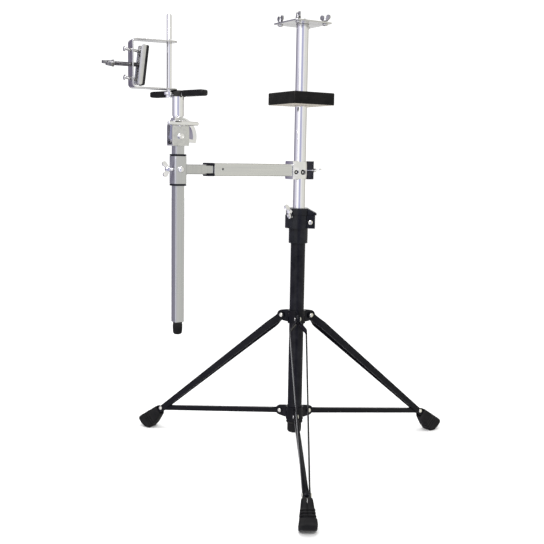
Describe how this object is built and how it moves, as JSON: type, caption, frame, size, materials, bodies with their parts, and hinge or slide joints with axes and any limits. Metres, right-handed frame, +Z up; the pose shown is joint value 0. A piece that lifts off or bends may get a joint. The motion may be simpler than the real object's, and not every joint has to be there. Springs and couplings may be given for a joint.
{
  "type": "percussion accessory stand",
  "caption": "Folding tripod stand with a telescopic pole, a bolted top plate, a foam block and a side arm with a tilting clamp.",
  "frame": {"origin": "bottom centre of the bounding box, on the floor under the stand", "axes": "+Z up along the pole, -Y towards the front leg, +X to the viewer's right seen from the front"},
  "size_m": [0.7324, 0.6532, 0.9352],
  "materials": {
    "chrome": "polished chrome plate",
    "satin_steel": "satin plated square tube",
    "zinc_steel": "dull zinc plate",
    "black_paint": "semi-gloss black powder coat",
    "black_nylon": "moulded nylon",
    "black_rubber": "matt rubber",
    "black_foam": "closed-cell foam, matt"
  },
  "bodies": {
    "base": {"base_tube": "black_paint", "base_end_cap": "black_rubber", "height_clamp_body": "black_paint", "height_clamp_bolt": "chrome", "upper_leg_collar": "black_paint", "upper_rivet_front": "zinc_steel", "upper_rivet_right": "zinc_steel", "upper_rivet_left": "zinc_steel"},
    "height_wing_bolt": {"height_clamp_wing_bolt": "chrome"},
    "leg_front": {"leg_strap_front_a": "black_paint", "leg_strap_front_b": "black_paint", "foot_front": "black_rubber"},
    "leg_right": {"leg_strap_right_a": "black_paint", "leg_strap_right_b": "black_paint", "foot_right": "black_rubber"},
    "leg_left": {"leg_strap_left_a": "black_paint", "leg_strap_left_b": "black_paint", "foot_left": "black_rubber"},
    "lower_collar": {"lower_leg_collar": "black_paint", "lower_rivet_front": "zinc_steel", "lower_rivet_right": "zinc_steel", "lower_rivet_left": "zinc_steel"},
    "brace_front": {"brace_front": "black_paint"},
    "brace_right": {"brace_right": "black_paint"},
    "brace_left": {"brace_left": "black_paint"},
    "pole": {"pole_tube": "chrome", "top_plate": "zinc_steel", "plate_bolt_1": "zinc_steel", "plate_bolt_2": "zinc_steel", "plate_bolt_3": "zinc_steel", "plate_bolt_4": "zinc_steel"},
    "plate_nut_1": {"plate_wing_nut_1": "zinc_steel"},
    "plate_nut_2": {"plate_wing_nut_2": "zinc_steel"},
    "plate_nut_3": {"plate_wing_nut_3": "zinc_steel"},
    "plate_nut_4": {"plate_wing_nut_4": "zinc_steel"},
    "foam": {"foam_block": "black_foam"},
    "arm": {"arm_clamp_body": "chrome", "arm_clamp_jaw": "black_nylon", "arm_outer_tube": "satin_steel", "arm_bushing": "black_nylon"},
    "arm_wing_bolt": {"arm_clamp_wing_bolt": "chrome"},
    "arm_extension": {"arm_inner_tube": "satin_steel", "sleeve_liner": "black_nylon"},
    "sleeve_wing": {"sleeve_wing_bolt": "chrome"},
    "upright": {"upright_tube": "satin_steel", "upright_tip": "black_rubber", "tilter_base": "chrome", "tilter_pivot_bolt": "chrome"},
    "tilter_lock": {"tilter_lock_bolt": "chrome"},
    "tilter": {"tilter_arm": "chrome"},
    "fork": {"fork_plate": "chrome", "fork_pad_right": "black_rubber", "fork_pad_left": "black_rubber"},
    "rod": {"clamp_rod": "chrome"},
    "bracket": {"u_bracket": "chrome"},
    "press": {"pressure_plate": "zinc_steel", "pressure_pad": "black_rubber", "guide_pin_upper": "zinc_steel", "guide_pin_lower": "zinc_steel"},
    "clamp_screw": {"clamp_wing_screw": "zinc_steel"}
  },
  "joints": [
    {"name": "leg_front_fold", "type": "hinge", "parent": "base", "child": "leg_front", "pos_m": [0.01252, 0.05247, 0.309], "axis": [0.9976, 0.0698, 0], "range_deg": [0, 45]},
    {"name": "leg_right_fold", "type": "hinge", "parent": "base", "child": "leg_right", "pos_m": [0.03944, 0.10644, 0.309], "axis": [-0.5446, 0.8387, 0], "range_deg": [0, 45]},
    {"name": "leg_left_fold", "type": "hinge", "parent": "base", "child": "leg_left", "pos_m": [-0.0211, 0.10327, 0.309], "axis": [-0.454, -0.891, 0], "range_deg": [0, 45]},
    {"name": "lower_collar_slide", "type": "slide", "parent": "base", "child": "lower_collar", "axis": [0, 0, 1], "range_m": [0, 0.12368]},
    {"name": "brace_front_swing", "type": "hinge", "parent": "lower_collar", "child": "brace_front", "pos_m": [0.01252, 0.05247, 0.097], "axis": [0.9976, 0.0698, 0], "range_deg": [0, 74.18]},
    {"name": "brace_right_swing", "type": "hinge", "parent": "lower_collar", "child": "brace_right", "pos_m": [0.03944, 0.10644, 0.097], "axis": [-0.5446, 0.8387, 0], "range_deg": [0, 74.18]},
    {"name": "brace_left_swing", "type": "hinge", "parent": "lower_collar", "child": "brace_left", "pos_m": [-0.0211, 0.10327, 0.097], "axis": [-0.454, -0.891, 0], "range_deg": [0, 74.18]},
    {"name": "height_wing_turn", "type": "hinge", "parent": "base", "child": "height_wing_bolt", "pos_m": [-0.00716, 0.06532, 0.534], "axis": [-0.6157, -0.788, 0], "range_deg": [-180, 180]},
    {"name": "pole_height", "type": "slide", "parent": "base", "child": "pole", "axis": [0, 0, 1], "range_m": [-0.04, 0.25]},
    {"name": "plate_nut_1_turn", "type": "hinge", "parent": "pole", "child": "plate_nut_1", "pos_m": [0.00118, 0.04157, 0.9226], "axis": [0, 0, 1], "range_deg": [-180, 180]},
    {"name": "plate_nut_2_turn", "type": "hinge", "parent": "pole", "child": "plate_nut_2", "pos_m": [0.05589, 0.07848, 0.9226], "axis": [0, 0, 1], "range_deg": [-180, 180]},
    {"name": "plate_nut_3_turn", "type": "hinge", "parent": "pole", "child": "plate_nut_3", "pos_m": [0.01899, 0.1332, 0.9226], "axis": [0, 0, 1], "range_deg": [-180, 180]},
    {"name": "plate_nut_4_turn", "type": "hinge", "parent": "pole", "child": "plate_nut_4", "pos_m": [-0.03573, 0.09629, 0.9226], "axis": [0, 0, 1], "range_deg": [-180, 180]},
    {"name": "foam_slide", "type": "slide", "parent": "pole", "child": "foam", "axis": [0, 0, 1], "range_m": [-0.105, 0.125]},
    {"name": "arm_swivel", "type": "hinge", "parent": "pole", "child": "arm", "pos_m": [0.01008, 0.08738, 0.62], "axis": [0, 0, 1], "continuous": true},
    {"name": "arm_wing_turn", "type": "hinge", "parent": "arm", "child": "arm_wing_bolt", "pos_m": [0.03718, 0.10707, 0.62], "axis": [0.809, 0.5878, 0], "range_deg": [-180, 180]},
    {"name": "arm_extend", "type": "slide", "parent": "arm", "child": "arm_extension", "axis": [-0.809, -0.5878, 0], "range_m": [-0.04, 0.1]},
    {"name": "sleeve_wing_turn", "type": "hinge", "parent": "arm_extension", "child": "sleeve_wing", "pos_m": [-0.23723, -0.0923, 0.62], "axis": [-0.809, -0.5878, 0], "range_deg": [-180, 180]},
    {"name": "upright_height", "type": "slide", "parent": "arm_extension", "child": "upright", "axis": [0, 0, 1], "range_m": [-0.012, 0.2]},
    {"name": "tilter_lock_turn", "type": "hinge", "parent": "upright", "child": "tilter_lock", "pos_m": [-0.21017, -0.09774, 0.706], "axis": [0.5878, -0.809, 0], "range_deg": [-180, 180]},
    {"name": "tilter_tilt", "type": "hinge", "parent": "upright", "child": "tilter", "pos_m": [-0.22211, -0.08131, 0.682], "axis": [0.5878, -0.809, 0], "range_deg": [-10, 90]},
    {"name": "fork_swivel", "type": "hinge", "parent": "tilter", "child": "fork", "pos_m": [-0.22211, -0.08131, 0.761], "axis": [0, 0, 1], "continuous": true},
    {"name": "rod_turn", "type": "hinge", "parent": "fork", "child": "rod", "pos_m": [-0.23814, -0.08948, 0.761], "axis": [0, 0, 1], "continuous": true},
    {"name": "bracket_slide", "type": "slide", "parent": "rod", "child": "bracket", "axis": [0, 0, 1], "range_m": [0, 0.045]},
    {"name": "press_travel", "type": "slide", "parent": "bracket", "child": "press", "axis": [0.891, 0.454, 0], "range_m": [-0.0025, 0.009]},
    {"name": "clamp_screw_turn", "type": "hinge", "parent": "press", "child": "clamp_screw", "pos_m": [-0.33215, -0.13738, 0.8105], "axis": [0.891, 0.454, 0], "range_deg": [-721, 2593]}
  ],
  "couplings": [
    {"joint": "leg_right_fold", "follows": "leg_front_fold", "ratio": 1},
    {"joint": "leg_left_fold", "follows": "leg_front_fold", "ratio": 1},
    {"joint": "lower_collar_slide", "follows": "leg_front_fold", "m_per_rad": 0.15735},
    {"joint": "brace_front_swing", "follows": "leg_front_fold", "ratio": 1.6482},
    {"joint": "brace_right_swing", "follows": "leg_front_fold", "ratio": 1.6482},
    {"joint": "brace_left_swing", "follows": "leg_front_fold", "ratio": 1.6482},
    {"joint": "clamp_screw_turn", "follows": "press_travel", "rad_per_m": 5026.5}
  ]
}
